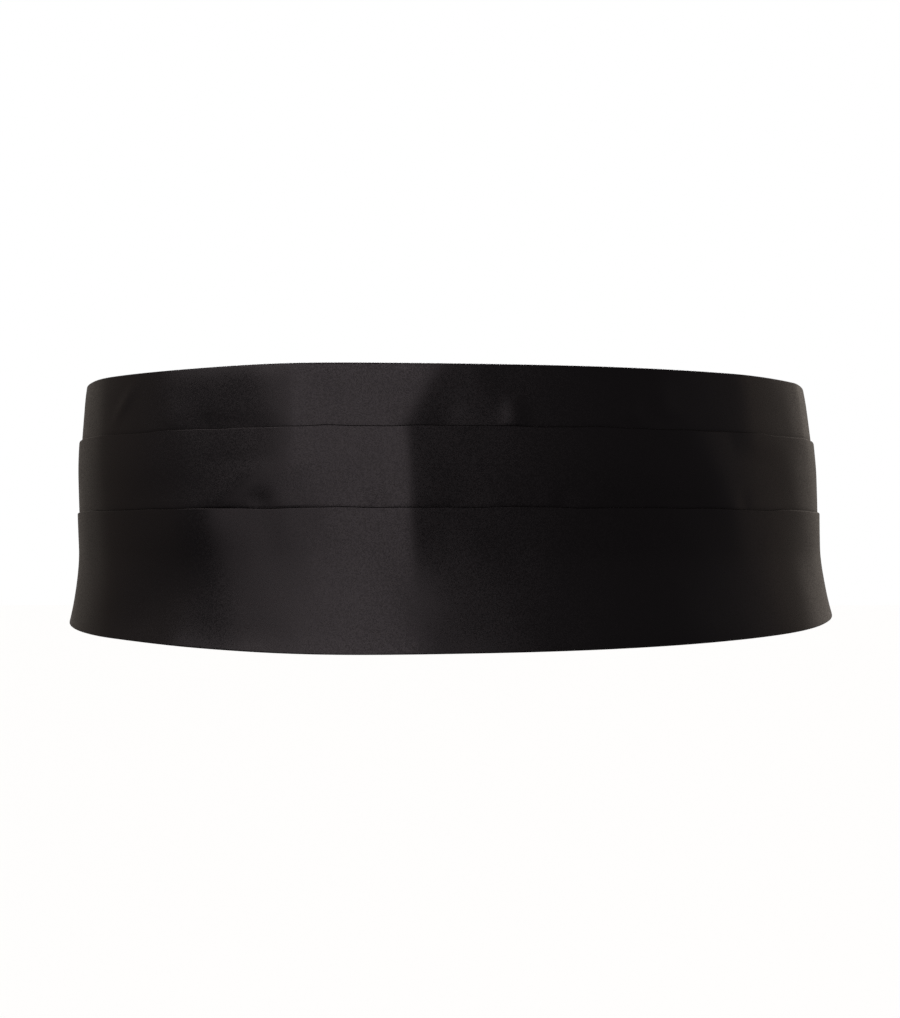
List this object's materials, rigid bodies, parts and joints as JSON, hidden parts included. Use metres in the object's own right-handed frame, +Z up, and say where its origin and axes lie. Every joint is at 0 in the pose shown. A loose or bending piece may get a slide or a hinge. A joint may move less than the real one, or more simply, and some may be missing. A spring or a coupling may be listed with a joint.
{
  "type": "cummerbund",
  "caption": "Black satin cummerbund in worn shape: a pleated front band tapering to webbing straps that meet in a hook and eye at the back.",
  "frame": {"origin": "the middle of the waist that holds the garment, at the height of the middle of the back strap", "axes": "+X towards the wearer's left, +Y from the centre front to the centre back, +Z up"},
  "size_m": [0.3365, 0.238, 0.1205],
  "materials": {
    "satin": "black satin weave, soft sheen",
    "webbing": "black ribbed elastic webbing, dull",
    "nickel": "nickel plated steel, polished"
  },
  "bodies": {
    "root": {"front_panel": "satin", "strap_with_eye": "webbing", "strap_with_slider": "webbing", "slider": "nickel", "hook": "nickel", "eye": "nickel"}
  },
  "joints": []
}
